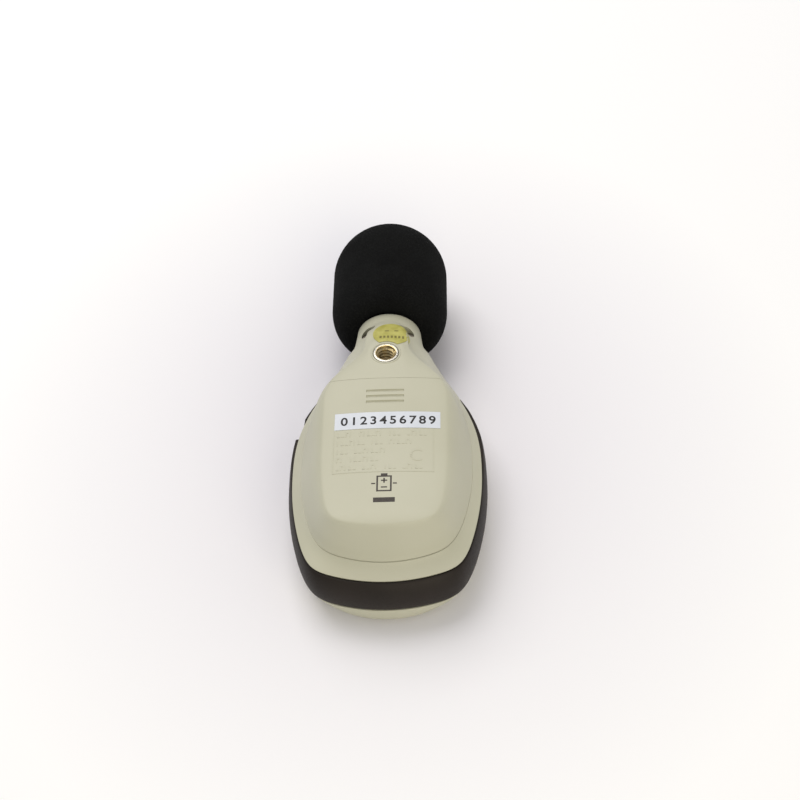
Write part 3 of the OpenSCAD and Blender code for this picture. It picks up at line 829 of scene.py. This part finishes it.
@dataclass
class RearShell:
    """Back half of the case with its border, battery box walls and neck."""

    sizes: CaseSizes = SIZES
    outline: CaseOutline = OUTLINE
    well_radius: float = 2.2
    collar: tuple[float, float, float] = (3.86, 4.45, 32.16)

    def outer(self) -> list[Level]:
        """Levels of the outside, with a rounded border above the band."""
        s = self.sizes
        back = s.back_levels()
        border = back[0]
        lip = [border.inset(d, -z) for d, z in ((0.5, 0.0), (0.2, 0.08), (0.05, 0.25))]
        curve = self.outline.between([replace(border, z=border.z + 0.5), *back[1:]], 9)
        seat = [s.seat_level(s.part_z, 91, 9.8), s.seat_level(14.5, 91, 9.8),
                s.seat_level(s.band_high - 0.03, 91, 9.8)]
        return seat + lip + curve

    def build(self) -> Piece:
        """Model the shell and its inner walls.

        Returns:
            A twin of the shell from before its holes were cut, to lay the sticker on.
        """
        s = self.sizes
        shell = self.outline.solid("rear_shell_skin", self.outer())
        neck = Neck(s)
        Bench.cut(shell, neck.solid("neck_tool", True), Cut.PLUS)
        Bench.relax(shell, neck.near_root, 14)
        seats = [s.seat_level(11, 89, 7.8), s.seat_level(15, 89, 7.8)]
        seats = [replace(level, half=level.half - s.wall, start=s.edge + s.wall)
                 for level in seats]
        inner = self.outline.solid(
            "inner_tool",
            seats + self.outline.between(s.inner_levels(s.wall), 4))
        Bench.cut(shell, inner)
        posts = [
            Bench.rod("bush_post", 6.4, (0, s.bush_v, 22.5), 8.6),
            *[Bench.rod("neck_post", 2.1, (side * s.screw[0], s.screw[1], s.part_z), 12.5)
              for side in (-1, 1)],
        ]
        for post in posts:
            Bench.cut(shell, post, Cut.PLUS)
        ground = Bench.twin(shell, "sticker_ground")
        tools = [
            neck.bore("bore_tool"),
            Bench.box("door_tool", (-40, -1, s.ledge), (40, s.door_v, 60)),
            Bench.rod("bush_tool", 3.8, (0, s.bush_v, 24), 12),
            Bench.box("key_tool", (-30, 55.55, 12.45), (-16, 62.45, 15.95)),
        ]
        for side in (-1, 1):
            x, v = side * s.screw[0], s.screw[1]
            tools.append(Bench.rod("well_tool", self.well_radius, (x, v, 22.5), 14, steps=48))
            tools.append(Bench.rod("shank_tool", 1.3, (x, v, 10), 14, steps=32))
        for tool in tools:
            Bench.cut(shell, tool)
        Bench.shade(shell)
        finish_piece(shell, Finishes.SHELL, "case", ["rear_shell"])
        self.raised_collar()
        self.tray()
        return ground

    def raised_collar(self) -> None:
        """Low rounded rim of plastic round the tripod bush."""
        inner, outer, top = self.collar
        s = self.sizes
        mid, half = (inner + outer) / 2, (outer - inner) / 2
        rim = [(mid - half * math.cos(math.radians(a)), top - half + half * math.sin(math.radians(a)))
               for a in range(0, 181, 20)]
        profile = [(inner, 31.0), *rim, (outer, 31.0), (inner, 31.0)]
        rows = Bench.turned("bush_collar", profile, (0, s.bush_v, 0), Axis.Z, 96)
        Bench.shade(rows)
        finish_piece(rows, Finishes.SHELL, "case")

    def tray(self) -> None:
        """Open box for the battery, its ribs and the lips that hold the door."""
        s = self.sizes
        floor, height, half, thick = 10.8, 10.2, 13.7, 1.2
        start, end = 14.1, 69.3
        parts = [
            Bench.box("tray_floor", (-half - 0.5, start, floor), (half + 0.5, end, floor + 0.8)),
            Bench.box("tray_end", (-half, start, floor), (half, start + thick, floor + 10)),
            Bench.box("tray_top", (-half, end - thick, floor), (half, end, floor + 10)),
        ]
        for side in (-1, 1):
            def wall(name: str, x0: float, x1: float, v0: float, v1: float, z0: float,
                     z1: float) -> Piece:
                """Block on this side of the box."""
                a, b = sorted((side * x0, side * x1))
                return Bench.box(name, (a, v0, z0), (b, v1, z1))
            parts += [
                wall("tray_wall", half, half + thick, start, end, floor, floor + height),
                wall("lip_root", half, half + thick, 29, 51, s.ledge, s.ledge + 2.5),
                wall("lip", half + 1, half + 3.4, 29, 51, s.ledge + 1.6, s.ledge + 2.5),
                wall("rib", 14.8, 24.2, 32, 33.2, 12.2, 17.2),
                wall("rib", 14.8, 24.2, 48, 49.2, 12.2, 17.2),
                Bench.rod("case_post", 2.6, (side * s.case_screw[0], s.case_screw[1], 12), 5.5),
            ]
        tray = Bench.join("battery_tray", parts)
        Bench.soften(tray, 0.15)
        Bench.shade(tray)
        finish_piece(tray, Finishes.SHELL, "case")


@dataclass
class FrontShell:
    """Front half of the case, with openings for the display and the keys."""

    sizes: CaseSizes = SIZES
    outline: CaseOutline = OUTLINE
    openings: tuple[tuple[float, float, float, float, float], ...] = (
        (0, 17, 10.5, 10.5, 5.15), (-10.5, 30, 13.5, 7.5, 3.65), (10.5, 30, 13.5, 7.5, 3.65),
    )

    def rounded(self, name: str, x: float, v: float, w: float, h: float, r: float,
                low: float, high: float) -> Piece:
        """Upright block with rounded corners."""
        row = []
        for k in range(41):
            k %= 40
            corner, step = divmod(k, 10)
            a = math.radians(90 * corner + 10 * step)
            cx = (w / 2 - r) * (1 if corner in (0, 3) else -1)
            cv = (h / 2 - r) * (1 if corner in (0, 1) else -1)
            row.append((x + cx + r * math.cos(a), v + cv + r * math.sin(a)))
        return Bench.skin(name, [[at(px, pv, z) for px, pv in row] for z in (low, high)])

    def build(self) -> None:
        """Model the shell."""
        s = self.sizes
        front = s.front_levels()
        sill = Level(0, s.half - 7.2, 6.9, 7.6, 77.3, 43.5, 84.5, 0, 5, 0.36, 9.5)
        curve = [replace(level, z=max(0.0, level.z))
                 for level in self.outline.between([sill, *front], 7)]
        seat = [s.seat_level(s.band_low + 0.03, 89), s.seat_level(9.5, 90),
                s.seat_level(s.part_z, 91)]
        shell = self.outline.solid("front_shell_skin", curve + seat)
        neck = Neck(s).solid("neck_tool", False)
        Bench.cut(neck, Bench.box("board_room", (-15, 70, 8.7), (15, 84.5, 14)))
        Bench.cut(shell, neck, Cut.PLUS)
        inner = [level.inset(s.wall, -s.wall if k < 3 else -s.wall / 2 if k == 3 else -0.5)
                 for k, level in enumerate(front)]
        inner[-1] = replace(inner[-1], seat=s.band_seat)
        inner += [replace(s.seat_level(z, end).inset(s.wall), start=s.edge + s.wall)
                  for z, end in ((7.8, 89), (13, 91))]
        Bench.cut(shell, self.outline.solid("inner_tool", self.outline.between(inner, 3)))
        Bench.cut(shell, Neck(s).bore("bore_tool"))
        for x, v, w, h, r in self.openings:
            Bench.cut(shell, self.rounded("key_tool", x, v, w, h, r, -1, 4))
        Bench.cut(shell, self.rounded("view_tool", 0, 50, 29, 13, 1, -1, 4))
        Bench.cut(shell, self.rounded("rebate_tool", 0, 50, 32.2, 16.2, 2.1, -1, 1.3))
        Bench.soften(shell, 0.12, 55)
        Bench.shade(shell)
        finish_piece(shell, Finishes.SHELL, "case", ["front_shell"])


@dataclass
class SideBand:
    """Dark grip band round the sides and the battery end."""

    sizes: CaseSizes = SIZES
    outline: CaseOutline = OUTLINE
    last_turn: float = 125.5
    shoulder: float = 1.0  # the upper edge stands out by this much more near the ends
    steps: int = 132
    # height, how far it stands out beyond the case wall, and how far it leans in
    section: tuple[tuple[float, float, float], ...] = (
        (7.06, -1.2, 0.0), (7.06, -0.1, 0.0), (7.2, 0.12, 0.0), (7.6, 0.33, 0.0),
        (8.4, 0.6, 0.0), (9.6, 0.8, 0.0), (11.0, 0.88, 0.02), (12.4, 0.82, 0.08),
        (13.8, 0.6, 0.2), (15.0, 0.28, 0.38), (16.0, -0.1, 0.6), (16.6, -0.38, 0.78),
        (16.85, -0.62, 0.86), (16.92, -0.9, 0.9), (16.92, -1.2, 0.9), (12.0, -1.2, 0.0),
    )

    def row(self, turn: float, side: int) -> list[Vector]:
        """The band's section at one turn; its outside stays proud almost to its ends."""
        s = self.sizes
        proud = replace(self.outline, fade_start=64.0)
        fuller = min(1.0, max(0.0, (turn - 84) / 24))
        out = []
        for z, stand, lean in self.section:
            if stand > -1:
                stand += fuller * self.shoulder * max(0.0, z - 12.4) / 4.5
            level = Level(z, s.half - s.edge, s.edge + lean, 9.7, 90, seat=-stand)
            x, v = (proud if stand > -1 else self.outline).point(turn, level)
            out.append(at(side * x, v, z))
        return out + [out[0].copy()]

    def build(self) -> None:
        """Sweep the band and cut the notch of the side key."""
        turns = [self.last_turn * k / self.steps for k in range(self.steps + 1)]
        rows = [self.row(turn, 1) for turn in reversed(turns)]
        rows += [self.row(turn, -1) for turn in turns[1:]]
        band = Bench.skin("side_band_grip", rows)
        Bench.cut(band, Bench.box("notch_tool", (-30, 55, 11), (-20, 63, 21)))
        Bench.shade(band, 45)
        finish_piece(band, Finishes.BAND, "case", ["side_band"])


@dataclass
class BatteryDoor:
    """Sliding door with its finger grips and hooks."""

    sizes: CaseSizes = SIZES
    outline: CaseOutline = OUTLINE
    grip_v: tuple[float, ...] = (54.85, 56.95, 59.05)
    grip_size: tuple[float, float, float] = (10.8, 1.0, 0.5)

    def levels(self) -> list[Level]:
        """Outside of the door with a rounded lower edge."""
        s = self.sizes
        back = s.back_levels()
        full = self.outline.between(back, 12)
        foot = [level for level in full if level.z > s.ledge + 0.3]
        edge = min(full, key=lambda level: abs(level.z - s.ledge - 0.2))
        lip = [replace(edge.inset(d), z=s.ledge + z) for d, z in ((0.22, 0.1), (0.07, 0.14), (0.0, 0.24))]
        return lip + foot

    def build(self) -> Piece:
        """Model the door."""
        s = self.sizes
        door = self.outline.solid("battery_door_skin", self.levels())
        wall = s.wall - 0.2
        first = Level(s.part_z, s.half - 6.1, 9.2, 8, 91, 40, 97, 0, 14, 0.49, 8.6)
        inner = self.outline.solid(
            "inner_tool", [first, *self.outline.between(s.inner_levels(wall), 4)])
        Bench.cut(door, Bench.box("end_tool", (-40, s.door_v - s.seam, 10), (40, 120, 60)))
        Bench.cut(door, inner)
        for v in self.grip_v:
            Bench.cut(door, self.grip_tool(v))
        for side in (-1, 1):
            x0, x1 = sorted((side * 15.9, side * 22.7))
            Bench.cut(door, Bench.box("hook", (x0, 29, 20.1), (x1, 51, 21.2)), Cut.PLUS)
        Bench.shade(door)
        finish_piece(door, Finishes.SHELL, "door", ["battery_door"])
        return door

    def grip_tool(self, v: float) -> Piece:
        """Tool for one finger groove of round section."""
        w, h, deep = self.grip_size
        top = self.sizes.top + h / 2 - deep
        return Bench.rod("grip_tool", h / 2, (-w / 2, v + h / 2, top), w, Axis.X, 32)


@dataclass
class PrintedMarks:
    """Serial label, raised text block and pictogram on the door."""

    label_x: tuple[float, float] = (-14.1, 15.7)
    label_v: tuple[float, float] = (45.1, 51.2)
    digits: str = "0123456789"

    def sheet(self, name: str, x0: float, x1: float, v0: float, v1: float,
              nx: int = 1, nv: int = 1) -> Piece:
        """Flat sheet above the back."""
        rows = [[at(x0 + (x1 - x0) * i / nx, v0 + (v1 - v0) * j / nv, 45)
                 for i in range(nx + 1)] for j in range(nv + 1)]
        return Bench.skin(name, rows, closed=False)

    def label(self, ground: Piece) -> Piece:
        """White film."""
        x0, x1 = self.label_x
        v0, v1 = self.label_v
        film = self.sheet("serial_label_film", x0, x1, v0, v1, 60, 12)
        Bench.drape(film, ground, 0.02, 0.12)
        Bench.shade(film, 40)
        return finish_piece(film, Finishes.PAPER, "door", ["serial_label"])

    def number(self, ground: Piece) -> None:
        """Row of plain digits on the label."""
        x0, x1 = self.label_x
        v0, v1 = self.label_v
        parts = []
        for k, digit in enumerate(self.digits):
            Bench.clear()
            bpy.ops.object.text_add(location=at(
                x0 + 1.7 + (x1 - x0 - 5.0) * k / (len(self.digits) - 1), (v0 + v1) / 2 - 1.45, 45))
            text = bpy.context.active_object
            text.data.body = digit
            text.data.size = 4.1 * MM
            text.data.offset = 0.08 * MM
            bpy.ops.object.convert(target="MESH")
            parts.append(Bench.settle("digit"))
        row = Bench.join("serial_digits", parts)
        Bench.drape(row, ground, 0.0, 0.02)
        finish_piece(row, Finishes.INK, "door")

    def pictogram(self, ground: Piece) -> None:
        """Standing battery with its two signs over a dark bar."""
        bars = [
            (-1.9, 2.3, 27.4, 27.85), (-1.9, 2.3, 22.3, 22.75), (-1.9, -1.45, 22.3, 27.85),
            (1.85, 2.3, 22.3, 27.85), (-0.7, 1.1, 27.85, 28.6), (-0.65, 1.05, 25.95, 26.35),
            (0.0, 0.4, 25.3, 27.0), (-0.65, 1.05, 23.6, 24.0), (-2.7, 3.2, 18.6, 20.2),
            (-3.3, -2.2, 24.9, 25.3), (2.6, 3.7, 24.9, 25.3),
        ]
        parts = [self.sheet("bar", *bar, 6, 6) for bar in bars]
        marks = Bench.join("battery_pictogram", parts)
        Bench.drape(marks, ground, 0.0, 0.03)
        finish_piece(marks, Finishes.PRINT, "door")

    def raised_text(self, ground: Piece) -> None:
        """Block of faint raised strokes in rows, with no readable words."""
        rows = (
            (42.4, 1.7, (4, 6, 3, 5)), (39.3, 1.6, (7, 3, 6)), (36.2, 1.6, (3, 8)),
            (33.2, 1.6, (2, 7)), (30.3, 1.6, (5, 4, 3, 5)),
        )
        parts = []
        for v, tall, words in rows:
            x = -13.2
            for count in words:
                for k in range(count):
                    lean = (k * 7 + count * 3) % 4
                    if lean != 3:
                        parts.append(self.sheet("stroke", x, x + 0.27, v, v + tall))
                    if lean != 1:
                        low = v + (tall - 0.27) * (lean % 3) / 2
                        parts.append(self.sheet("stroke", x, x + 0.8, low, low + 0.27))
                    x += 1.16
                x += 1.5
        for k in range(14):
            a = math.radians(60 + 240 * k / 13)
            cx, cv = 9.4 + 1.9 * math.cos(a), 35.2 + 1.9 * math.sin(a)
            parts.append(self.sheet("stroke", cx - 0.25, cx + 0.25, cv - 0.25, cv + 0.25))
        parts += [self.sheet("frame", *bar, 40, 12) for bar in (
            (-14.2, 13.8, 29.2, 29.36), (-14.2, -14.04, 29.2, 44.6), (13.64, 13.8, 29.2, 44.6))]
        block = Bench.join("raised_text", parts)
        Bench.drape(block, ground, -0.05, 0.13)
        finish_piece(block, Finishes.SHELL, "door")

    def build(self, door: Piece) -> None:
        """Lay all marks onto the door."""
        film = self.label(door)
        self.number(film)
        self.pictogram(door)
        self.raised_text(door)


@dataclass
class CheckSticker:
    """Round foil sticker with a row of short bars and two dashes, beside the bush."""

    centre: tuple[float, float] = (1.4, 83.0)
    radius: float = 5.4
    collar: float = 4.7
    rings: int = 12

    def build(self, ground: Piece) -> None:
        """Lay the sticker and its print onto the neck, then throw the ground away."""
        cx, cv = self.centre
        rings = []
        for j in range(self.rings + 1):
            r = self.radius * j / self.rings
            row = []
            for k in range(73):
                a = 2 * math.pi * (k % 72) / 72
                x, v = cx + r * math.cos(a), cv + r * math.sin(a)
                away = math.hypot(x, v - SIZES.bush_v)
                if away < self.collar:
                    x, v = x * self.collar / away, SIZES.bush_v + (v - SIZES.bush_v) * self.collar / away
                row.append(at(x, v, 45))
            rings.append(row)
        disc = Bench.skin("check_sticker_foil", rings, closed=False)
        Bench.weld(disc)
        Bench.drape(disc, ground, 0.06, 0.1)
        Bench.shade(disc, 40)
        finish_piece(disc, Finishes.STICKER, "case", ["check_sticker"])
        marks = PrintedMarks()
        bars = [marks.sheet("dash", cx - 3.4 + 1.1 * k, cx - 2.75 + 1.1 * k, cv - 2.3, cv - 1.1, 2, 2)
                for k in range(7)]
        bars += [marks.sheet("dash", cx - 1.9, cx - 0.7, cv + 1.1, cv + 1.6, 2, 2),
                 marks.sheet("dash", cx + 0.9, cx + 2.1, cv + 1.1, cv + 1.6, 2, 2)]
        print_row = Bench.join("sticker_print", bars)
        Bench.drape(print_row, disc, 0.0, 0.02)
        finish_piece(print_row, Finishes.OLIVE, "case")
        bpy.data.objects.remove(ground)


@dataclass
class TripodBush:
    """Plated brass bush with a cut quarter-inch thread."""

    sizes: CaseSizes = SIZES
    radius: float = 3.7
    mouth: float = 2.72
    root: float = 3.05
    crest: float = 2.3
    pitch: float = 1.27
    bottom: float = 24.2
    top: float = 32.16

    def build(self) -> None:
        """Turn the bush, then wind the thread inside it."""
        s = self.sizes
        r, m = self.radius, self.mouth
        profile = [
            (0, self.bottom), (r, self.bottom), (r, self.top - 0.25), (r - 0.08, self.top - 0.08),
            (r - 0.25, self.top), (m + 0.3, self.top), (m + 0.1, self.top - 0.1),
            (m, self.top - 0.35), (self.root, self.top - 0.6), (self.root, self.bottom + 1),
            (0, self.bottom + 1),
        ]
        bush = Bench.turned("tripod_bush_body", profile, (0, s.bush_v, 0), Axis.Z, 96)
        turns, steps = 5, 48
        section = ((self.root + 0.05, -0.52), (self.crest, -0.06), (self.crest, 0.06),
                   (self.root + 0.05, 0.52))
        rows = []
        for k in range(turns * steps + 1):
            a = 2 * math.pi * k / steps
            rise = self.bottom + 1.3 + self.pitch * k / steps
            row = [at(rr * math.cos(a), s.bush_v + rr * math.sin(a), rise + dz)
                   for rr, dz in section]
            rows.append(row + [row[0].copy()])
        thread = Bench.skin("thread", rows)
        bush = Bench.join("tripod_bush_turned", [bush, thread])
        Bench.shade(bush, 30)
        finish_piece(bush, Finishes.BUSH, "case", ["tripod_bush"])


@dataclass
class Windscreen:
    """Moulded foam sleeve over the microphone."""

    sizes: CaseSizes = SIZES
    near_v: float = 95.9
    near_round: tuple[float, float] = (5.2, 9.5)
    bore: float = 6.65
    bore_end: float = 122.0
    skin_depth: float = 0.12

    def build(self) -> None:
        """Turn the sleeve and roughen its skin with open cells."""
        low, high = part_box("windscreen")
        r = (high.x - low.x) / 2 / MM
        far = (high.y - BATTERY_END) / MM
        across, along = self.near_round
        r -= self.skin_depth / 2
        far -= self.skin_depth / 2
        profile = [(self.bore, self.bore_end), (self.bore, self.near_v + 0.6),
                   (self.bore + 0.3, self.near_v + 0.15)]
        profile = [(0.0, self.bore_end)] + profile
        k_near = 26
        for k in range(k_near + 1):
            a = math.radians(90 * k / k_near)
            rad = r - across * (1 - math.sin(a))
            profile.append((rad, self.near_v + along * (1 - math.cos(a))))
        side0, side1 = self.near_v + along, far - r
        profile += [(r, side0 + (side1 - side0) * k / 20) for k in range(1, 20)]
        profile += [(r * math.cos(math.radians(a)), far - r + r * math.sin(math.radians(a)))
                    for a in [90 * k / 60 for k in range(61)]]
        profile[-1] = (0.0, far)
        foam = Bench.turned("windscreen_foam", profile, (0, 0, self.sizes.mic_z), Axis.Y, 200)
        Bench.pick(foam)
        cells = bpy.data.textures.new("cells", "CLOUDS")
        cells.noise_scale = 0.0007
        cells.noise_depth = 2
        bpy.ops.object.modifier_add(type="DISPLACE")
        step = foam.modifiers[-1]
        step.texture, step.texture_coords = cells, "LOCAL"
        step.strength, step.mid_level = self.skin_depth * MM, 0.5
        bpy.ops.object.modifier_apply(modifier=step.name)
        Bench.shade(foam, 60)
        finish_piece(foam, Finishes.FOAM, "foam", ["windscreen"])


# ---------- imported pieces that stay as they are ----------


PACKED_FINISHES: dict[str, Finish] = {
    "lcd_window": Finishes.WINDOW, "lcd_bezel": Finishes.DARK, "lcd_glass": Finishes.GLASS,
    "backlight_panel": Finishes.DIFFUSER, "zebra_strip": Finishes.ZEBRA,
    "main_board": Finishes.BOARD, "power_key": Finishes.RED, "hold_key": Finishes.GREY,
    "light_key": Finishes.GREY, "side_key": Finishes.BAND, "power_plunger": Finishes.DARK,
    "hold_plunger": Finishes.DARK, "light_plunger": Finishes.DARK,
    "side_plunger": Finishes.DARK, "key_switches": Finishes.DARK, "side_switch": Finishes.DARK,
    "mic_tube": Finishes.METAL, "mic_capsule": Finishes.METAL, "mic_grid": Finishes.METAL,
    "mic_gasket": Finishes.RUBBER, "mic_clamp": Finishes.DARK, "battery_case": Finishes.CELL,
    "battery_end_plate": Finishes.DARK, "battery_studs": Finishes.METAL,
    "contact_block": Finishes.DARK, "battery_contacts": Finishes.BRASS,
    "neck_screws": Finishes.STEEL, "case_screws": Finishes.STEEL,
    "board_screws": Finishes.STEEL, "controller_chip": Finishes.CHIP,
    "amplifier_chip": Finishes.CHIP, "crystal": Finishes.METAL, "capacitors": Finishes.CAN,
    "chip_resistors": Finishes.CHIP, "shield_can": Finishes.METAL,
    "board_header": Finishes.CREAM, "trimmer_base": Finishes.BLUE,
    "trimmer_rotor": Finishes.CREAM,
}


def dress_packed() -> None:
    """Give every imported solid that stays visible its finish."""
    for name, finish in PACKED_FINISHES.items():
        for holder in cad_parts[name].material_slots:
            holder.link = "OBJECT"
            holder.material = finish.material()


# ---------- floor, light and camera ----------


@dataclass(frozen=True)
class ShadedFloorFinish(Finish):
    """Pale table with painted shade round the meter that grows lighter away from it."""

    # distances in metres over which the painted shade fades out
    near: float = 0.04
    far: float = 0.15

    def dress(self, tree: Tree) -> None:
        """Painted shade: radial change of colour about the origin, from the darker first colour to the
        table's own colour.
        """
        shader = tree.shader
        shader.inputs["Roughness"].default_value = self.rough
        shader.inputs["Specular IOR Level"].default_value = self.specular
        x = tree.maths("MULTIPLY", tree.part("X"), 1.15)
        y = tree.part("Y")
        square = tree.maths("ADD", tree.maths("MULTIPLY", x, x), tree.maths("MULTIPLY", y, y))
        away = tree.span(tree.maths("SQRT", square), 0.0, 1.0, self.near, self.far)
        tree.link(tree.ramp(away, self.colour, self.second, 0.0, 1.0),
                  shader.inputs["Base Color"])


@dataclass
class Studio:
    """Pale floor with painted shade round the meter, soft light and the camera."""

    azimuth: float = 3.6
    elevation: float = 47.4
    distance: float = 485.7
    roll: float = 4.2
    target: tuple[float, float, float] = (4.17, -11.4, 30.0)
    lens: float = 76.5

    def floor(self) -> None:
        """Large flat table, with painted shade round the meter."""
        Bench.clear()
        bpy.ops.mesh.primitive_plane_add(size=4.0, location=(0, 0, 0))
        plane = Bench.settle("table")
        # the first colour is painted shade near the meter; the second is the table's own colour
        plane.data.materials.append(ShadedFloorFinish(
            "table_top", (0.825, 0.81, 0.855), (0.99, 0.99, 0.99), rough=0.75,
            specular=0.2).material())

    def lamp(self, name: str, place: Point, size: float, power: float,
             colour: tuple[float, float, float]) -> None:
        """Square soft light that looks at the meter."""
        data = bpy.data.lights.new(name, "AREA")
        data.shape, data.size, data.energy, data.color = "SQUARE", size, power, colour
        lamp = bpy.data.objects.new(name, data)
        bpy.context.scene.collection.objects.link(lamp)
        lamp.location = place
        lamp.rotation_euler = (-Vector(place)).to_track_quat("-Z", "Y").to_euler()

    def camera(self) -> None:
        """Camera above the battery end, turned a little."""
        az, el = math.radians(self.azimuth), math.radians(self.elevation)
        target = Vector(self.target) * MM
        away = Vector((math.sin(az) * math.cos(el), -math.cos(az) * math.cos(el), math.sin(el)))
        look = -away
        right = look.cross(Vector((0, 0, 1))).normalized()
        up = right.cross(look)
        roll = math.radians(self.roll)
        right2 = right * math.cos(roll) - up * math.sin(roll)
        up2 = right * math.sin(roll) + up * math.cos(roll)
        data = bpy.data.cameras.new("camera")
        data.lens, data.sensor_width = self.lens, 36.0
        data.clip_start, data.clip_end = 0.01, 20.0
        camera = bpy.data.objects.new("camera", data)
        bpy.context.scene.collection.objects.link(camera)
        turn = Matrix((right2, up2, away)).transposed().to_4x4()
        camera.matrix_world = Matrix.Translation(target + away * self.distance * MM) @ turn
        bpy.context.scene.camera = camera

    def build(self) -> None:
        """Set up everything round the meter."""
        self.floor()
        world = bpy.data.worlds.new("studio")
        world.use_nodes = True
        sky = world.node_tree.nodes["Background"]
        sky.inputs["Color"].default_value = (0.93, 0.94, 1.0, 1)
        sky.inputs["Strength"].default_value = 0.44
        bpy.context.scene.world = world
        self.lamp("key", (-0.25, 0.45, 1.0), 0.9, 8.0, (1.0, 0.97, 0.93))
        self.lamp("fill", (0.35, -0.9, 0.55), 0.8, 4.4, (1.0, 0.92, 0.70))
        self.camera()
        bpy.context.scene.view_settings.view_transform = "Standard"


def main() -> None:
    """Build every sub-assembly in order."""
    Studio().build()
    dress_packed()
    ground = RearShell().build()
    FrontShell().build()
    SideBand().build()
    door = BatteryDoor().build()
    PrintedMarks().build(door)
    CheckSticker().build(ground)
    TripodBush().build()
    Windscreen().build()


if __name__ == "__main__":
    main()
